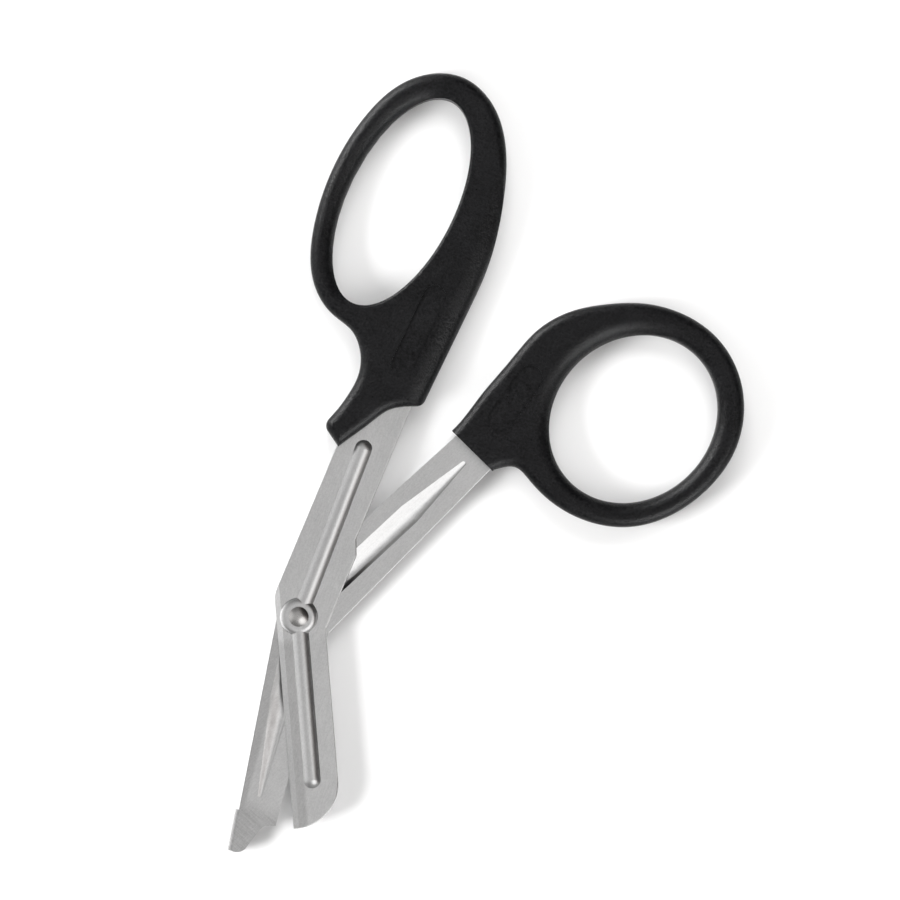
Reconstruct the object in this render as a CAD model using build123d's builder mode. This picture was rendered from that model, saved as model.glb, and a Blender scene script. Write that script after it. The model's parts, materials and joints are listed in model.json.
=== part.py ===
from build123d import *
import os
from math import cos, hypot, radians, sin

os.makedirs("parts", exist_ok=True)

# Bandage scissors: two pressed steel halves crossed on a rivet, each with a moulded plastic handle.
# Every half is drawn with the pivot at (0, 0), its shank along +Y and its blade towards -Y.
# Millimetres. The scissors lie flat, with the handles' undersides at height 0.

# Pose
shank_spread = 21.9          # angle between the two shanks as the scissors lie, degrees

# Heights
handle_thickness = 9.0
sheet_thickness = 1.45
blade_gap = 0.1              # air between the two sliding faces

# Pressed ribs and the raised boss round the pivot, on the outer face of each half
rib_height = 1.0
rib_width = 4.1
boss_width = 9.0
boss_top_width = 6.2         # flat top, from which the boss rounds down to the sheet
groove_width = 5.2           # groove behind each rib, on the inner face
groove_depth = 1.1
groove_valley = 0.28         # its deepest line, off its middle, as a share of its width
groove_lean = 0.2            # slope at which its broad side starts
groove_shank_taper = 18.0    # it narrows over this length towards the handle
groove_blade_taper = 24.0    # and over this length towards the tip
groove_tip_share = 0.2       # down to this share of its width and depth
dish_width = 7.6             # hollow behind the boss
dish_floor_width = 5.2

# Edges of the sheet
edge_round = 0.3             # rubbed-off outer edges
shank_edge_round = 0.2       # the lower shank's outer edge, on its inner face
bevel_width = 1.3            # ground bevel along each cutting edge
bevel_depth = 0.9

# Upper half: blade
upper_bend = 27.5            # turn of the blade away from the line of its shank, degrees
upper_cutting_side = 5.35    # pivot to cutting edge
upper_back_side = 6.15       # pivot to spine
upper_blade_length = 49.9
upper_tip_round = 10.6       # length of the rounded end, along the spine
upper_rib_side = -0.05       # end of the rib, off the pivot line
upper_rib_stop = 11.2        # and short of the blade's end

# Upper half: shank
upper_outer_side = 7.35      # pivot line to the outer edge
upper_inner_side = 5.4       # pivot line to the inner edge, above the step
upper_step = 1.6             # the inner edge stands this much further out round the pivot
upper_step_start = 18.6
upper_step_end = 22.2
upper_shank_rib_end = (-1.3, 42.6)
shoulder_round = 6.0

# Lower half: blade
lower_bend = 29.4
lower_cutting_side = 7.73
lower_back_side = 5.1        # pivot to spine, at the pivot
lower_back_taper = 3.55      # the spine draws in by this much down to the foot
lower_blade_length = 49.3
lower_rib_side = 2.3
lower_rib_stop = 5.6

# Lower half: the blunt foot that slides under the bandage
foot_length = 8.5
foot_lap = 1.3               # the folded edge starts this far before the cutting edge's end
foot_step = 0.85             # and stands out beyond the spine by this much
foot_corner = 0.5            # rise of the foot's outer corner above its tip
foot_throat = (5.6, 0.55)    # the cutting end is straight this far in, and this far beyond its corner
foot_hollow = (4.1, 2.5)     # middle of the hollow beside the foot
foot_nose = (2.3, 7.0)       # the hollow meets the rounded tip here
foot_throat_turn = (-1, -0.2)
foot_nose_turn = (-0.35, -1)
foot_tip_side = -0.5         # lowest point of the tip, off the pivot line
foot_skid_depth = 3.4        # depth of the folded edge, from the inner face down
foot_skid_thickness = 1.3
foot_fold_round = 1.1        # outside of the fold

# Lower half: shank
lower_outer_side = 7.8
lower_inner_side = 5.0
lower_taper_start = 32.0
lower_inner_taper = 1.5      # the inner edge draws in by this much from there to the handle
lower_shank_rib_end = (2.25, 53.6)

# Tangs inside the handles
tang_width = 7.2
tang_end = 79.0
tang_hole_width = 4.0        # the plastic fills this hole and locks the tang
tang_hole_height = 70.0
upper_tang_side = 0.4        # middle of the upper tang, off the pivot line
lower_tang_side = -0.2
upper_shank_end = 59.5       # full shank width ends here
lower_shank_end = 59.5

# Rivet
rivet_width = 3.2
rivet_running_gap = 0.05     # round the rivet in the lower half, and under its washer
rivet_head_width = 4.7
rivet_head_height = 0.95
rivet_head_rim = 0.25
rivet_tail_width = 4.6
rivet_tail_height = 0.9
washer_width = 6.2
washer_thickness = 0.6

# Finger handle
finger_hole_width = 25.4
finger_hole_length = 53.1
finger_hole_side = -15.6     # middle of the hole, off the pivot line
finger_hole_start = 73.3     # near end of the hole, along the shank
finger_hole_tilt = -3.5
finger_limbs = [(3, 11.4), (15, 10.2), (27, 9.3), (45, 8.3), (68, 7.1), (90, 6.25), (120, 6.05)]
finger_thin_limbs = [(150, 5.8), (180, 5.4), (210, 5.15), (240, 5.1), (263, 4.9)]
finger_spine_start = (7.65, 57.2)
finger_spine_end = (9.2, 86.2)
finger_spine_round_width = 5.2
finger_spine_land = 0.6      # narrow flat left along the middle of the spine
finger_spine_lean = 0.1      # the rounding starts and ends this steep
finger_spine_turn = 42       # direction in which it runs off the bow, degrees from the shank
finger_spine_leave = [(3, 0.5), (27, 1.7), (48, 3.6)]  # there the broad rounding runs off the bow's edge
finger_neck = [(-14.9, 67.3), (-10.7, 63.0), (-9.15, 56.8), (-10.1, 50.6)]
finger_toe_top = (-12.2, 44.1)
finger_toe_turn = (-0.35, -1)
finger_toe = (-7.0, 40.7)
finger_toe_round = 2.3
finger_toe_lean = (0.5, 0.87)
finger_lip = [(-2.0, 49.1), (0.5, 53.1)]
finger_nose = (5.8, 56.4)
finger_nose_turn = (0.92, 0.39)
finger_nose_round = 2.3
finger_recess_middle = (-0.05, 73.2)
finger_recess_length = 23.4
finger_recess_width = 5.5
finger_recess_tilt = -2.4
finger_edge_round = 2.2
finger_hole_round = 0.7
finger_flare = 3.2           # broad rounding of the thin limbs towards the hole

# Thumb handle, given from its front
thumb_front_height = 56.7    # the front is cut square here
thumb_hole_width = 37.3
thumb_hole_length = 42.2
thumb_hole_side = 23.4
thumb_hole_start = 11.1      # near end of the hole beyond the front
thumb_hole_tilt = -1.5
thumb_limbs = [
    (150, 8.6), (135, 7.6), (120, 6.95), (90, 6.45), (60, 6.25),
    (30, 6.0), (0, 5.4), (-45, 5.7), (-74, 5.95),
]
thumb_inner_side = [(-5.2, 1.3), (-6.3, 11.4), (-7.05, 21.3), (-7.6, 30.5), (-5.2, 39.6)]
thumb_inner_lean = (-0.08, 1)
thumb_crook = [(16.0, 4.6), (10.9, 4.0), (8.6, 0.8)]
thumb_recess_middle = (0.1, 16.0)
thumb_recess_length = 17.9
thumb_recess_width = 6.1
thumb_recess_tilt = 9.0
thumb_edge_round = 2.2
thumb_hole_round = 2.8
thumb_flare = 4.2            # broad rounding of the hole on the side of the web

recess_depth = 0.35

# Heights worked out from the sizes above
meeting_height = handle_thickness / 2
upper_inner_face = meeting_height + blade_gap / 2
upper_outer_face = upper_inner_face + sheet_thickness
lower_inner_face = meeting_height - blade_gap / 2
lower_outer_face = lower_inner_face - sheet_thickness
upper_boss_top = upper_outer_face + rib_height
lower_boss_top = lower_outer_face - rib_height


def on_shank(x, y, bend):
    """A point given along the blade, in the directions of its shank."""
    c, s = cos(radians(bend)), sin(radians(bend))
    return (c * x - s * y, s * x + c * y)


def on_hole(angle, out, width, length, middle, tilt):
    """The point a distance out from an oval hole's edge, at an angle round it."""
    across = length * cos(radians(angle))
    along = width * sin(radians(angle))
    x = width / 2 * cos(radians(angle)) + out * across / hypot(across, along)
    y = length / 2 * sin(radians(angle)) + out * along / hypot(across, along)
    c, s = cos(radians(tilt)), sin(radians(tilt))
    return (middle[0] + c * x - s * y, middle[1] + s * x + c * y)


def level_bar(end, radius, height):
    """A level round bar from the pivot to a point, with a ball end."""
    length = hypot(*end)
    along = (end[0] / length, end[1] / length, 0)
    with BuildPart() as bar:
        with BuildSketch(Plane(origin=(0, 0, height), x_dir=along, z_dir=(0, 0, 1))):
            with BuildLine():
                Polyline((length + radius, 0), (0, 0), (0, radius), (length, radius))
                JernArc((length, radius), (1, 0), radius, -90)
            make_face()
        revolve(axis=Axis((0, 0, height), along))
    return bar.part


def pressed_form(rib_ends, face, up):
    """The ribs and the boss that stand proud of one outer face of the sheet."""
    radius = (rib_width ** 2 / 4 + rib_height ** 2) / (2 * rib_height)
    top = face + up * rib_height
    with BuildPart() as boss:
        with BuildSketch(Plane.XZ):
            with BuildLine():
                Polyline((boss_top_width / 2, top), (0, top), (0, face), (boss_width / 2, face))
                TangentArc((boss_top_width / 2, top), (boss_width / 2, face), tangent=(1, 0))
            make_face()
        revolve(axis=Axis.Z)
    with BuildPart() as form:
        for end in rib_ends:
            add(level_bar(end, radius, face + up * (rib_height - radius)))
        split(bisect_by=Plane((0, 0, face)), keep=Keep.TOP if up > 0 else Keep.BOTTOM)
        add(boss.part)
    return form.part


def groove_section(plane, share, side):
    """The section of a groove on a plane across it, steep on one side, at a share of its full size."""
    width, depth = share * groove_width, share * groove_depth
    valley = groove_valley * width
    with BuildSketch(plane, mode=Mode.PRIVATE) as section:
        with BuildLine():
            Spline((-width / 2, 0), (valley, depth), tangents=((1, groove_lean), (1, 0)))
            Spline((valley, depth), (width / 2, 0), tangents=((1, 0), (1, -1)))
            Line((width / 2, 0), (-width / 2, 0))
        make_face()
        if side < 0:
            mirror(about=Plane.YZ, mode=Mode.REPLACE)
    return section.sketch


def hollow_form(rib_ends, face, up):
    """The grooves and the dish that the ribs and the boss leave in the inner face."""
    with BuildPart() as form:
        for end, side, taper in zip(rib_ends, (1, -1), (groove_shank_taper, groove_blade_taper)):
            length = hypot(*end)
            along = (end[0] / length, end[1] / length, 0)
            across = (-up * along[1], up * along[0], 0)
            full = 1 - taper / length
            start_plane = Plane((0, 0, face), x_dir=across, z_dir=along)
            stop_plane = Plane((full * end[0], full * end[1], face), x_dir=across, z_dir=along)
            tip_plane = Plane((*end, face), x_dir=across, z_dir=along)
            extrude(groove_section(start_plane, 1, side), amount=full * length)
            loft([groove_section(stop_plane, 1, side), groove_section(tip_plane, groove_tip_share, side)])
        with BuildSketch(Plane((0, 0, face), z_dir=(0, 0, up))):
            Circle(dish_width / 2)
        with BuildSketch(Plane((0, 0, face + up * groove_depth), z_dir=(0, 0, up))):
            Circle(dish_floor_width / 2)
        loft()
    return form.part


def sheet_edges(part, height, places):
    """The edges of the sheet that lie at a height and nearest to each of some places."""
    level = part.edges().filter_by_position(Axis.Z, height - blade_gap / 4, height + blade_gap / 4)
    return [level.sort_by_distance((*place, height))[0] for place in places]


def edge_bevel(bend, cutting_side, start, end, face, up):
    """The ground-off wedge along a cutting edge, as a solid to take away."""
    side = 1 if cutting_side > 0 else -1
    inner = (cutting_side - side * bevel_width, face)
    outer = (cutting_side + side * bevel_width, face - up * 2 * bevel_depth)
    across = on_shank(1, 0, bend)
    towards_tip = on_shank(0, -1, bend)
    origin = on_shank(0, start, bend)
    with BuildPart() as wedge:
        with BuildSketch(Plane((*origin, 0), x_dir=(*across, 0), z_dir=(*towards_tip, 0))):
            Polygon(inner, outer, (outer[0], face + up), (inner[0], face + up), align=None)
        extrude(amount=start - end)
    return wedge.part


def tang(middle, shank_end):
    """The four corners of a tang, from the inner side of the shank round to its outer side."""
    left, right = middle - tang_width / 2, middle + tang_width / 2
    return [(right, shank_end), (right, tang_end), (left, tang_end), (left, shank_end)]


# Upper half: one piece of sheet steel with its blade, shank and hidden tang
upper_sole = upper_inner_side + upper_step
shoulder_along = (
    (upper_outer_side - upper_cutting_side * cos(radians(upper_bend))) / sin(radians(upper_bend))
)
crook_along = (upper_back_side * cos(radians(upper_bend)) - upper_sole) / sin(radians(upper_bend))
upper_shoulder = on_shank(-upper_cutting_side, shoulder_along, upper_bend)
upper_crook = on_shank(upper_back_side, crook_along, upper_bend)
upper_back_end = on_shank(upper_back_side, upper_tip_round - upper_blade_length, upper_bend)
upper_point = on_shank(-upper_cutting_side, -upper_blade_length, upper_bend)
upper_rib_ends = [
    upper_shank_rib_end,
    on_shank(upper_rib_side, upper_rib_stop - upper_blade_length, upper_bend),
]

with BuildPart() as upper_blade:
    with BuildSketch(Plane.XY.offset(upper_inner_face)) as upper_outline:
        with BuildLine():
            Polyline(
                upper_back_end,
                upper_crook,
                (upper_sole, upper_step_start),
                (upper_inner_side, upper_step_end),
                (upper_inner_side, upper_shank_end),
                *tang(upper_tang_side, upper_shank_end),
                (-upper_outer_side, upper_shank_end),
                upper_shoulder,
                upper_point,
            )
            TangentArc(upper_back_end, upper_point, tangent=on_shank(0, -1, upper_bend))
        make_face()
        fillet(upper_outline.vertices().sort_by_distance(upper_shoulder)[0], shoulder_round)
    extrude(amount=sheet_thickness)
    fillet(
        sheet_edges(upper_blade, upper_outer_face, [
            (upper_inner_side, (upper_step_end + upper_shank_end) / 2),
            ((upper_inner_side + upper_sole) / 2, (upper_step_start + upper_step_end) / 2),
            (upper_sole, upper_step_start / 2),
            on_shank(upper_back_side, -upper_blade_length / 2, upper_bend),
            on_shank(0, -upper_blade_length, upper_bend),
        ]),
        edge_round,
    )
    add(
        edge_bevel(upper_bend, -upper_cutting_side, 2 * shoulder_along, -upper_blade_length - bevel_width,
                   upper_outer_face, 1),
        mode=Mode.SUBTRACT,
    )
    add(pressed_form(upper_rib_ends, upper_outer_face, 1))
    add(hollow_form(upper_rib_ends, upper_inner_face, 1), mode=Mode.SUBTRACT)
    with BuildSketch(Plane.XY):
        Circle(rivet_width / 2)
        with Locations((upper_tang_side, tang_hole_height)):
            Circle(tang_hole_width / 2)
    extrude(amount=handle_thickness, mode=Mode.SUBTRACT)

# Lower half: the same kind of pressing, with the foot folded at its tip
back_slope = lower_back_taper / lower_blade_length
lower_shoulder_along = (
    (lower_inner_side - lower_back_side * cos(radians(lower_bend)))
    / (sin(radians(lower_bend)) + back_slope * cos(radians(lower_bend)))
)
lower_crook_along = (
    (lower_cutting_side * cos(radians(lower_bend)) - lower_outer_side) / sin(radians(lower_bend))
)


def lower_back(along, out=0):
    """A point on the lower blade's spine, or a distance outside it."""
    return on_shank(-lower_back_side - back_slope * along - out, along, lower_bend)


foot_start = foot_lap - lower_blade_length
foot_end = -lower_blade_length - foot_length
lower_corner = on_shank(lower_cutting_side, -lower_blade_length, lower_bend)
lower_crook = on_shank(lower_cutting_side, lower_crook_along, lower_bend)
lower_throat = on_shank(foot_throat[0], -lower_blade_length - foot_throat[1], lower_bend)
lower_hollow = on_shank(foot_hollow[0], -lower_blade_length - foot_hollow[1], lower_bend)
lower_nose = on_shank(foot_nose[0], -lower_blade_length - foot_nose[1], lower_bend)
lower_rib_ends = [
    lower_shank_rib_end,
    on_shank(lower_rib_side, lower_rib_stop - lower_blade_length, lower_bend),
]

with BuildPart() as lower_blade:
    with BuildSketch(Plane.XY.offset(lower_outer_face)) as lower_outline:
        with BuildLine():
            Polyline(
                lower_corner,
                lower_crook,
                (lower_outer_side, lower_shank_end),
                *tang(lower_tang_side, lower_shank_end),
                (-lower_inner_side + lower_inner_taper, lower_shank_end),
                (-lower_inner_side, lower_taper_start),
                lower_back(lower_shoulder_along),
                lower_back(foot_start),
                lower_back(foot_start, foot_step),
                lower_back(foot_end + foot_corner, foot_step),
            )
            Line(lower_corner, lower_throat)
            Spline(
                lower_throat, lower_hollow, lower_nose,
                tangents=(on_shank(*foot_throat_turn, lower_bend), on_shank(*foot_nose_turn, lower_bend)),
            )
            ThreePointArc(
                lower_nose,
                on_shank(foot_tip_side, foot_end, lower_bend),
                lower_back(foot_end + foot_corner, foot_step),
            )
        make_face()
    extrude(amount=sheet_thickness)
    with BuildSketch(Plane(
        (*lower_back(foot_start, foot_step), lower_inner_face),
        x_dir=(*on_shank(back_slope, -1, lower_bend), 0),
        z_dir=(*on_shank(1, back_slope, lower_bend), 0),
    )) as skid_side:
        Rectangle(
            foot_length + foot_lap, foot_skid_depth, align=(Align.MIN, Align.MIN)
        )
    extrude(amount=foot_skid_thickness)
    fold = lower_blade.edges().sort_by_distance(
        (*lower_back(foot_start - foot_length / 2, foot_step), lower_inner_face)
    )[0]
    fillet(fold, foot_fold_round)
    fillet(
        sheet_edges(lower_blade, lower_inner_face, [(lower_outer_side, lower_shank_end / 2)]),
        shank_edge_round,
    )
    add(
        edge_bevel(lower_bend, lower_cutting_side, lower_crook_along - bevel_width,
                   -lower_blade_length - bevel_width, lower_outer_face, -1),
        mode=Mode.SUBTRACT,
    )
    add(pressed_form(lower_rib_ends, lower_outer_face, -1))
    add(hollow_form(lower_rib_ends, lower_inner_face, -1), mode=Mode.SUBTRACT)
    with BuildSketch(Plane.XY):
        Circle(rivet_width / 2 + rivet_running_gap)
        with Locations((lower_tang_side, tang_hole_height)):
            Circle(tang_hole_width / 2)
    extrude(amount=handle_thickness, mode=Mode.SUBTRACT)

# Rivet: domed head on the upper boss, shank through both halves, tail spread under the washer
washer_top = lower_boss_top - rivet_running_gap
tail_top = washer_top - washer_thickness

with BuildPart() as pivot_rivet:
    with BuildSketch(Plane.XZ):
        with BuildLine():
            Polyline((0, upper_boss_top + rivet_head_height), (0, tail_top - rivet_tail_height))
            TangentArc((0, tail_top - rivet_tail_height), (rivet_tail_width / 2, tail_top), tangent=(1, 0))
            Polyline(
                (rivet_tail_width / 2, tail_top),
                (rivet_width / 2, tail_top),
                (rivet_width / 2, upper_boss_top),
                (rivet_head_width / 2, upper_boss_top),
                (rivet_head_width / 2, upper_boss_top + rivet_head_rim),
            )
            TangentArc(
                (0, upper_boss_top + rivet_head_height),
                (rivet_head_width / 2, upper_boss_top + rivet_head_rim),
                tangent=(1, 0),
            )
        make_face()
    revolve(axis=Axis.Z)

with BuildPart() as rivet_washer:
    with BuildSketch(Plane.XY.offset(tail_top)):
        Circle(washer_width / 2)
        Circle(rivet_width / 2, mode=Mode.SUBTRACT)
    extrude(amount=washer_thickness)

# Finger handle: a long bow for two or three fingers, moulded over the upper half's tang
finger_hole_middle = (finger_hole_side, finger_hole_start + finger_hole_length / 2)
finger_hole = (finger_hole_width, finger_hole_length, finger_hole_middle, finger_hole_tilt)


def limb_at(angle):
    """The bow's width at an angle round the hole, between the widths given."""
    for (low, wide), (high, thin) in zip(finger_limbs, finger_limbs[1:]):
        if low <= angle <= high:
            return wide + (thin - wide) * (angle - low) / (high - low)


finger_bow = [on_hole(angle, limb, *finger_hole) for angle, limb in finger_limbs + finger_thin_limbs]
spine_run = (finger_spine_end[0] - finger_spine_start[0], finger_spine_end[1] - finger_spine_start[1])
spine_cut_height = meeting_height + blade_gap / 2
spine_before = (finger_spine_start[0] - spine_run[0], finger_spine_start[1] - spine_run[1])
spine_leave = [on_hole(angle, limb_at(angle) + out, *finger_hole) for angle, out in finger_spine_leave]


def flare(width, length, radius):
    """A plug for an oval hole, spreading over both faces of a handle with a rounded edge."""
    with BuildPart() as plate:
        with BuildSketch():
            Rectangle(width + 6 * radius, length + 6 * radius)
            Ellipse(width / 2, length / 2, mode=Mode.SUBTRACT)
        extrude(amount=handle_thickness)
        fillet(plate.edges().filter_by(GeomType.ELLIPSE), radius)
    with BuildPart() as plug:
        with BuildSketch():
            Rectangle(width + 4 * radius, length + 4 * radius)
        extrude(amount=handle_thickness)
        add(plate.part, mode=Mode.SUBTRACT)
    return plug.part


with BuildPart() as finger_handle:
    with BuildSketch() as finger_outline:
        with BuildLine():
            Line(finger_spine_start, finger_spine_end)
            Spline(
                finger_spine_end, *finger_bow, *finger_neck, finger_toe_top,
                tangents=(spine_run, finger_toe_turn),
            )
            Line(finger_toe_top, finger_toe)
            Spline(finger_toe, *finger_lip, finger_nose, tangents=(finger_toe_lean, finger_nose_turn))
            Line(finger_nose, finger_spine_start)
        make_face()
        fillet(finger_outline.vertices().sort_by_distance(finger_toe_top)[0], finger_toe_round)
        fillet(finger_outline.vertices().sort_by_distance(finger_spine_start)[0], finger_nose_round)
    extrude(amount=handle_thickness)
    fillet(finger_handle.edges().filter_by(Axis.Z, reverse=True), finger_edge_round)
    # The spine is rounded broadly above and below, down to a narrow land
    with BuildLine() as spine_path:
        Spline(
            spine_before, finger_spine_end, *spine_leave,
            tangents=(spine_run, on_shank(0, 1, finger_spine_turn)),
        )
    with BuildSketch(Plane((*spine_before, meeting_height), x_dir=(spine_run[1], -spine_run[0], 0),
                           z_dir=(*spine_run, 0))):
        with BuildLine():
            Polyline(
                (-finger_spine_round_width, -spine_cut_height),
                (-finger_spine_round_width, -spine_cut_height - finger_edge_round),
                (finger_edge_round, -spine_cut_height - finger_edge_round),
                (finger_edge_round, spine_cut_height + finger_edge_round),
                (-finger_spine_round_width, spine_cut_height + finger_edge_round),
                (-finger_spine_round_width, spine_cut_height),
            )
            Spline(
                (-finger_spine_round_width, spine_cut_height), (0, finger_spine_land / 2),
                tangents=((1, -finger_spine_lean), (finger_spine_lean, -1)),
            )
            Line((0, finger_spine_land / 2), (0, -finger_spine_land / 2))
            Spline(
                (0, -finger_spine_land / 2), (-finger_spine_round_width, -spine_cut_height),
                tangents=((-finger_spine_lean, -1), (-1, -finger_spine_lean)),
            )
        make_face()
    sweep(path=spine_path.line, mode=Mode.SUBTRACT)
    with BuildSketch():
        with Locations(Location((*finger_hole_middle, 0), (0, 0, finger_hole_tilt))):
            Ellipse(finger_hole_width / 2, finger_hole_length / 2)
    extrude(amount=handle_thickness, mode=Mode.SUBTRACT)
    fillet(finger_handle.edges(Select.LAST).filter_by(GeomType.ELLIPSE), finger_hole_round)
    with Locations(Location((*finger_hole_middle, 0), (0, 0, finger_hole_tilt))):
        with Locations((-finger_flare / 2, 0)):
            add(
                flare(
                    finger_hole_width - finger_flare,
                    finger_hole_length * (1 - finger_flare / finger_hole_width) ** 0.5, finger_flare,
                ),
                mode=Mode.SUBTRACT,
            )
    with BuildSketch(Plane.XY.offset(handle_thickness)):
        with Locations(finger_recess_middle):
            SlotOverall(finger_recess_length, finger_recess_width, rotation=90 + finger_recess_tilt)
    extrude(amount=-recess_depth, mode=Mode.SUBTRACT)
    add(upper_blade.part, mode=Mode.SUBTRACT)

# Thumb handle: a rounder ring, moulded over the lower half's tang
def from_front(place):
    """A point given from the thumb handle's front."""
    return (place[0], thumb_front_height + place[1])


thumb_hole_middle = from_front((thumb_hole_side, thumb_hole_start + thumb_hole_length / 2))
thumb_hole = (thumb_hole_width, thumb_hole_length, thumb_hole_middle, thumb_hole_tilt)
thumb_ring = [on_hole(angle, limb, *thumb_hole) for angle, limb in thumb_limbs]
thumb_front_left = from_front((thumb_inner_side[0][0], -2 * thumb_edge_round))
thumb_front_right = from_front((thumb_crook[-1][0], -2 * thumb_edge_round))

with BuildPart() as thumb_handle:
    with BuildSketch() as thumb_outline:
        with BuildLine():
            Line(thumb_front_right, thumb_front_left)
            Spline(
                thumb_front_left, *[from_front(place) for place in thumb_inner_side], *thumb_ring,
                *[from_front(place) for place in thumb_crook], thumb_front_right,
                tangents=(thumb_inner_lean, (0, -1)),
            )
        make_face()
    extrude(amount=handle_thickness)
    fillet(thumb_handle.edges().filter_by(Axis.Z, reverse=True), thumb_edge_round)
    split(bisect_by=Plane((0, thumb_front_height, 0), z_dir=(0, 1, 0)), keep=Keep.TOP)
    with BuildSketch():
        with Locations(Location((*thumb_hole_middle, 0), (0, 0, thumb_hole_tilt))):
            Ellipse(thumb_hole_width / 2, thumb_hole_length / 2)
    extrude(amount=handle_thickness, mode=Mode.SUBTRACT)
    fillet(thumb_handle.edges(Select.LAST).filter_by(GeomType.ELLIPSE), thumb_hole_round)
    with Locations(Location((*thumb_hole_middle, 0), (0, 0, thumb_hole_tilt))):
        with Locations((-(thumb_flare - thumb_hole_round), 0)):
            add(
                flare(
                    thumb_hole_width - 2 * (thumb_flare - thumb_hole_round),
                    thumb_hole_length - 2 * (thumb_flare - thumb_hole_round), thumb_flare,
                ),
                mode=Mode.SUBTRACT,
            )
    with BuildSketch(Plane.XY.offset(handle_thickness)):
        with Locations(from_front(thumb_recess_middle)):
            SlotOverall(thumb_recess_length, thumb_recess_width, rotation=90 + thumb_recess_tilt)
    extrude(amount=-recess_depth, mode=Mode.SUBTRACT)
    add(lower_blade.part, mode=Mode.SUBTRACT)

# The lower half is swung open on the rivet, and the whole is set over the middle of its footprint
for swung in (lower_blade, thumb_handle):
    swung.part.move(Location((0, 0, 0), (0, 0, -shank_spread)))
halves = [upper_blade, lower_blade, pivot_rivet, rivet_washer, finger_handle, thumb_handle]
footprint = Compound([piece.part for piece in halves]).bounding_box()
for piece in halves:
    piece.part.move(Location((-footprint.center().X, -footprint.center().Y, 0)))
print("pivot at", -footprint.center().X, -footprint.center().Y, "lowest", footprint.min.Z)

upper_blade.part.label = "upper_blade"
export_step(upper_blade.part, "parts/upper_blade.step")
lower_blade.part.label = "lower_blade"
export_step(lower_blade.part, "parts/lower_blade.step")
pivot_rivet.part.label = "pivot_rivet"
export_step(pivot_rivet.part, "parts/pivot_rivet.step")
rivet_washer.part.label = "rivet_washer"
export_step(rivet_washer.part, "parts/rivet_washer.step")
finger_handle.part.label = "finger_handle"
export_step(finger_handle.part, "parts/finger_handle.step")
thumb_handle.part.label = "thumb_handle"
export_step(thumb_handle.part, "parts/thumb_handle.step")
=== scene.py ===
import json
from math import cos, radians, sin

import bpy
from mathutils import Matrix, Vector

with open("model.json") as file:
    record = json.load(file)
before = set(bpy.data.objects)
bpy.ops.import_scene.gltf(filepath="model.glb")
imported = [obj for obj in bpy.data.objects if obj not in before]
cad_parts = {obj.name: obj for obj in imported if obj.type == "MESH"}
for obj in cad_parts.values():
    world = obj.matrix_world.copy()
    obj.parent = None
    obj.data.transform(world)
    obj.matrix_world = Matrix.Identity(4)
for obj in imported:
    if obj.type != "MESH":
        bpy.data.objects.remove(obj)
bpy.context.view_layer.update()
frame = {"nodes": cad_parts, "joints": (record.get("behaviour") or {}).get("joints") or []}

# The camera looks straight down on the scissors as they lie open, from far enough away that their
# thickness hardly shows. The picture is turned, because the scissors lie aslant in it.
picture_turn = radians(22.8)
picture_width = 0.2131
picture_middle = Vector((-0.00540, 0.01267, 0.0045))
camera_height = 1.5
sensor_width = 36.0

camera_data = bpy.data.cameras.new("camera")
camera_data.sensor_width = sensor_width
camera_data.lens = sensor_width * camera_height / picture_width
camera = bpy.data.objects.new("camera", camera_data)
camera.location = picture_middle + Vector((0, 0, camera_height))
camera.rotation_euler = (0, 0, picture_turn)
bpy.context.scene.collection.objects.link(camera)
bpy.context.scene.camera = camera


def along_picture(right, up, height):
    """A place given in metres to the right of and above the picture's middle."""
    cosine, sine = cos(picture_turn), sin(picture_turn)
    return Vector((
        picture_middle.x + cosine * right - sine * up,
        picture_middle.y + sine * right + cosine * up,
        height,
    ))


# The table is a plain white sheet, lit so evenly that only a faint shadow is left beside the steel.
# Every surface from here on is a Finish, and its numbers are sums of what the nodes give out.
class Value:
    """A number output of a node, on which sums are written as plain expressions."""

    def __init__(self, finish, socket):
        self.finish = finish
        self.socket = socket

    def sum(self, operation, first, second):
        return self.finish.node("Math", [first, second], operation=operation)

    def __add__(self, other):
        return self.sum("ADD", self, other)

    __radd__ = __add__

    def __mul__(self, other):
        return self.sum("MULTIPLY", self, other)

    __rmul__ = __mul__

    def __sub__(self, other):
        return self.sum("SUBTRACT", self, other)

    def __rsub__(self, other):
        return self.sum("SUBTRACT", other, self)


class Finish:
    """A material or a surrounding, made node after node."""

    def __init__(self, name, kept_in=bpy.data.materials):
        self.owner = kept_in.new(name)
        self.owner.use_nodes = True
        self.tree = self.owner.node_tree
        self.tree.nodes.clear()

    def node(self, kind, values=(), output=0, stops=(), **settings):
        """Make a node, set or link its inputs by name or in order, and give back one output."""
        made = self.tree.nodes.new("ShaderNode" + kind)
        for name, setting in settings.items():
            setattr(made, name, setting)
        if stops:
            for stop, (place, colour) in zip(made.color_ramp.elements, stops):
                stop.position, stop.color = place, colour
        pairs = values.items() if isinstance(values, dict) else enumerate(values)
        for name, value in pairs:
            if isinstance(value, Value):
                self.tree.links.new(value.socket, made.inputs[name])
            else:
                made.inputs[name].default_value = value
        return Value(self, made.outputs[output]) if len(made.outputs) else None

    def surface(self, shader, end="OutputMaterial"):
        """Close the node tree with a shader, and give back the material or the surrounding."""
        self.node(end, {"Surface": shader})
        return self.owner


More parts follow.
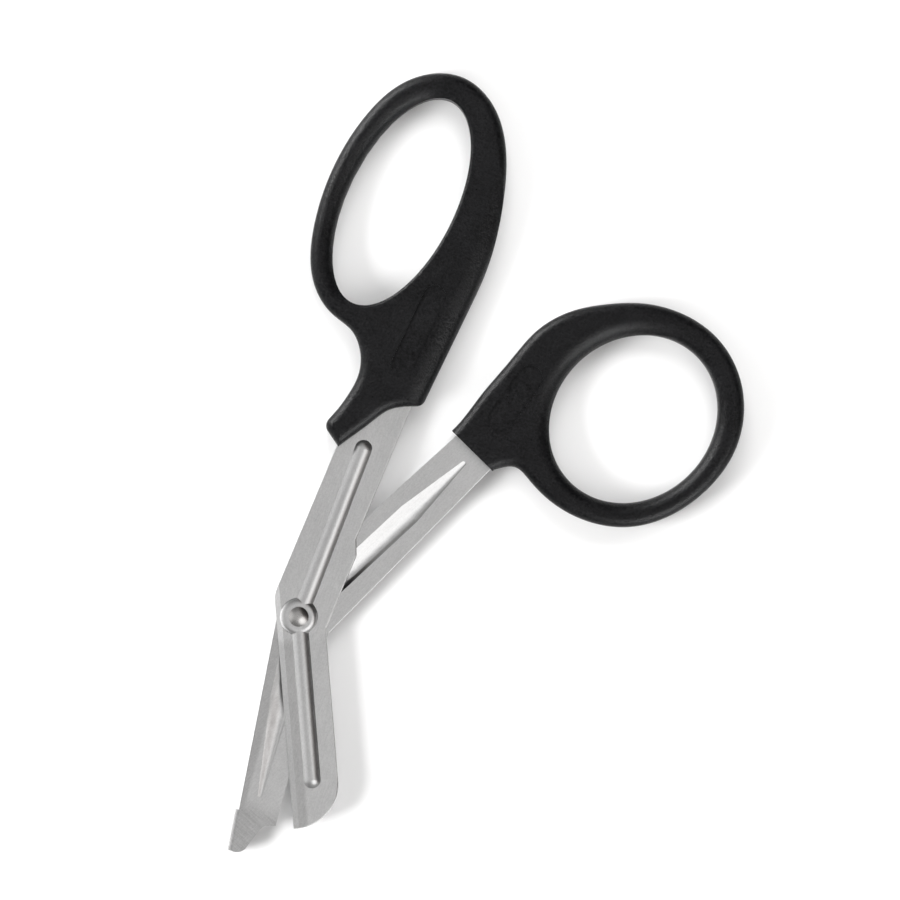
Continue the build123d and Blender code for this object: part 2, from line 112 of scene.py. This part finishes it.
table_finish = Finish("table_white")
table_grain = table_finish.node("TexNoise", {
    "Vector": table_finish.node("TexCoord", output="Object"), "Scale": 90.0, "Detail": 3.0,
})
table_reach = 3.0
table_corners = [(-1, -1), (1, -1), (1, 1), (-1, 1)]
table = bpy.data.meshes.new("table")
table.from_pydata(
    [(table_reach * x, table_reach * y, 0) for x, y in table_corners], [], [(0, 1, 2, 3)],
)
table.materials.append(table_finish.surface(table_finish.node("BsdfPrincipled", {
    "Base Color": (0.88, 0.88, 0.88, 1), "Roughness": 0.6 + 0.1 * table_grain,
    "Specular IOR Level": 0.1,
})))
table_piece = bpy.data.objects.new("table", table)
bpy.context.scene.collection.objects.link(table_piece)


# The room that the steel mirrors is pale, brightest overhead, with a white sheet to the lower right
# of the picture, a lighter wall to the left and a dark, brownish side to the right.
studio = Finish("studio", bpy.data.worlds)
around = studio.node("TexCoord", output="Generated")


def patch(right, up, height, inner, outer):
    """A round patch of the room: 1 within inner degrees of its middle, and 0 beyond outer."""
    middle = (along_picture(right, up, height) - along_picture(0, 0, 0)).normalized()
    nearness = studio.node(
        "VectorMath", [around, middle], output="Value", operation="DOT_PRODUCT",
    )
    return studio.node("MapRange", {
        "Value": nearness, "From Min": cos(radians(outer)), "From Max": cos(radians(inner)),
    }, interpolation_type="SMOOTHSTEP")


overhead = patch(right=0.0, up=0.0, height=1.0, inner=22, outer=48)
bright_sheet = patch(right=0.60, up=-0.64, height=1.16, inner=18, outer=28)
left_wall = patch(right=-1.0, up=0.05, height=0.45, inner=16, outer=40)
dark_side = patch(right=0.855, up=0.494, height=0.156, inner=50, outer=62)

walls = 0.22
room = walls + 0.29 * overhead + 1.35 * bright_sheet + 0.60 * left_wall
room_white = (1.0, 0.995, 0.99, 1)
room_brown = (1.0, 0.74, 0.62, 1)
bpy.context.scene.world = studio.surface(studio.node("Background", {
    "Color": studio.node("MixRGB", [dark_side, room_white, room_brown]),
    "Strength": room * (1 - 0.96 * dark_side),
}), end="OutputWorld")
bpy.context.scene.view_settings.view_transform = "Standard"


# Soft boxes stand low to the left of the table and beyond the handles, and the steel doesn't mirror
# them. A small one takes the shadow off the table's right side, and two give the handles a sheen.
def soft_box(name, right, up, height, width, watts, only=()):
    """A square lamp that faces the scissors. One that is made for some pieces lights only those."""
    light_data = bpy.data.lights.new(name, "AREA")
    light_data.shape = "SQUARE"
    light_data.size = width
    light_data.energy = watts
    box = bpy.data.objects.new(name, light_data)
    box.location = along_picture(right, up, height)
    box.rotation_euler = (picture_middle - box.location).to_track_quat("-Z", "Y").to_euler()
    box.visible_camera = False
    box.visible_glossy = bool(only)
    if only:
        lit = bpy.data.collections.new(name + "_lit")
        for piece in only:
            lit.objects.link(piece)
        box.light_linking.receiver_collection = lit
    bpy.context.scene.collection.objects.link(box)


soft_box("box_left", right=-0.62, up=-0.18, height=0.38, width=0.34, watts=7.5)
soft_box("box_top", right=0.06, up=0.34, height=0.34, width=0.34, watts=1.4)
soft_box("box_right", right=0.24, up=0.14, height=0.14, width=0.16, watts=0.42, only=[table_piece])
handles = [frame["nodes"]["finger_handle"], frame["nodes"]["thumb_handle"]]
soft_box("box_handles", right=-0.38, up=0.40, height=0.22, width=0.30, watts=9.0, only=handles)
soft_box("box_front", right=0.30, up=-0.46, height=0.34, width=0.30, watts=6.0, only=handles)


# The two halves are stainless sheet steel, blanked, pressed with ribs, and finely blasted and
# brushed along their length. The strip behind each cutting edge is ground a little rougher, and so
# is the foot of the lower half, slantwise. Both are also painted darker, as painted shade for the
# dimmer reflection that these slightly tilted flats give.
pivot = Vector(frame["joints"][0]["pos_m"])


def brushed_steel(name, grain_turn, square_turn, ground_and_shade_strip, foot=None, foot_turn=0.0):
    """The steel of one half, whose blade runs from the pivot square to the angle square_turn.

    Two distances from the pivot say where the ground strip, rougher and painted darker as shade,
    begins across the blade, and two more where the foot begins along it. The foot's scratches lie
    at the angle foot_turn.
    """
    steel = Finish(name)
    place = steel.node("TexCoord", output="Object")

    def past(turn, start, stop):
        """How far a place lies out from the pivot at an angle: 0 before start, 1 after stop."""
        from_pivot = steel.node("VectorMath", [place, pivot], operation="SUBTRACT")
        reach = steel.node(
            "VectorMath", [from_pivot, (cos(turn), sin(turn), 0)],
            output="Value", operation="DOT_PRODUCT",
        )
        return steel.node("MapRange", {
            "Value": reach, "From Min": start, "From Max": stop,
        }, interpolation_type="SMOOTHSTEP")

    def lines(turn, scale, length):
        """Fine noise that is drawn out along an angle, as brushing leaves it."""
        lay = steel.node("Mapping", {"Vector": place, "Rotation": (0, 0, -turn)})
        stretched = steel.node("Mapping", {"Vector": lay, "Scale": (1.0, 1 / length, 1.0)})
        return steel.node("TexNoise", {
            "Vector": stretched, "Scale": scale, "Detail": 3.0, "Roughness": 0.6,
        })

    along_blade = square_turn - radians(90)
    blade_start = (0.004, 0.007)
    # The ground strip and the foot are rougher, and their colour is darkened as painted shade.
    ground_and_shade = past(along_blade, *blade_start) * past(square_turn, *ground_and_shade_strip)
    blast = steel.node("TexNoise", {
        "Vector": place, "Scale": 2400.0, "Detail": 3.0, "Roughness": 0.7,
    })
    cloud = steel.node("TexNoise", {"Vector": place, "Scale": 110.0, "Detail": 4.0})
    brushing = lines(grain_turn, scale=3600.0, length=8.0)
    grain = 0.34 * brushing + 0.42 * blast + 0.24 * cloud
    if foot:
        on_foot = past(along_blade, *foot)
        ground_and_shade = 1 - (1 - ground_and_shade) * (1 - on_foot)
        scratches = lines(foot_turn, scale=2600.0, length=14.0)
        grain = grain + 0.6 * on_foot * (scratches - 0.5)
    steel_tone = 0.80
    grain_contrast = 0.75
    painted_shade_depth = 0.17
    # Over the ground strip and the foot the base colour is made darker: this is painted shade.
    shade = steel_tone * (0.93 + grain_contrast * (grain - 0.5) - painted_shade_depth * ground_and_shade)
    return steel.surface(steel.node("BsdfPrincipled", {
        "Base Color": shade, "Metallic": 1.0, "Roughness": 0.29 + 0.16 * grain + 0.08 * ground_and_shade,
        "Normal": steel.node("Bump", {"Strength": 0.3, "Distance": 0.00003, "Height": grain}),
    }))


def dress(node, material):
    """Give the whole of a piece one material."""
    mesh = frame["nodes"][node].data
    mesh.materials.clear()
    mesh.materials.append(material)
    for face in mesh.polygons:
        face.material_index = 0


dress("upper_blade", brushed_steel(
    "upper_steel", grain_turn=radians(4.0), square_turn=radians(27.5),
    ground_and_shade_strip=(-0.0014, -0.0024),
))
dress("lower_blade", brushed_steel(
    "lower_steel", grain_turn=radians(-20.0), square_turn=radians(7.5),
    ground_and_shade_strip=(-0.0002, -0.0012), foot=(0.0440, 0.0490), foot_turn=radians(70.0),
))


# The rivet that the two halves turn on is smooth stainless steel with a low domed head. Its tail is
# spread over a washer of the same steel on the underside.
rivet_finish = Finish("rivet_steel")
rivet_grain = rivet_finish.node("TexNoise", {
    "Vector": rivet_finish.node("TexCoord", output="Object"), "Scale": 4000.0, "Detail": 2.0,
})
rivet_material = rivet_finish.surface(rivet_finish.node("BsdfPrincipled", {
    "Base Color": (0.62, 0.61, 0.60, 1), "Metallic": 1.0, "Roughness": 0.24 + 0.1 * rivet_grain,
    "Normal": rivet_finish.node("Bump", {
        "Strength": 0.1, "Distance": 0.00002, "Height": rivet_grain,
    }),
}))
dress("pivot_rivet", rivet_material)
dress("rivet_washer", rivet_material)


# The handles are black plastic, moulded over the tangs at the ends of the two halves, with the fine
# satin grain of a spark-eroded mould.
handle_finish = Finish("handle_plastic")
handle_place = handle_finish.node("TexCoord", output="Object")
handle_grain = handle_finish.node("TexNoise", {
    "Vector": handle_place, "Scale": 1900.0, "Detail": 3.0, "Roughness": 0.7,
})
handle_cloud = handle_finish.node("TexNoise", {
    "Vector": handle_place, "Scale": 120.0, "Detail": 3.0,
})
handle_dark = (0.0001, 0.0001, 0.0002, 1)
handle_light = (0.0058, 0.0058, 0.0063, 1)
handle_material = handle_finish.surface(handle_finish.node("BsdfPrincipled", {
    "Base Color": handle_finish.node(
        "ValToRGB", [0.8 * handle_grain + 0.2 * handle_cloud],
        stops=[(0.38, handle_dark), (0.64, handle_light)],
    ),
    "Roughness": 0.20 + 0.26 * handle_grain, "Specular IOR Level": 0.13,
    "Normal": handle_finish.node("Bump", {
        "Strength": 0.8, "Distance": 0.0002, "Height": handle_grain,
    }),
}))
dress("finger_handle", handle_material)
dress("thumb_handle", handle_material)
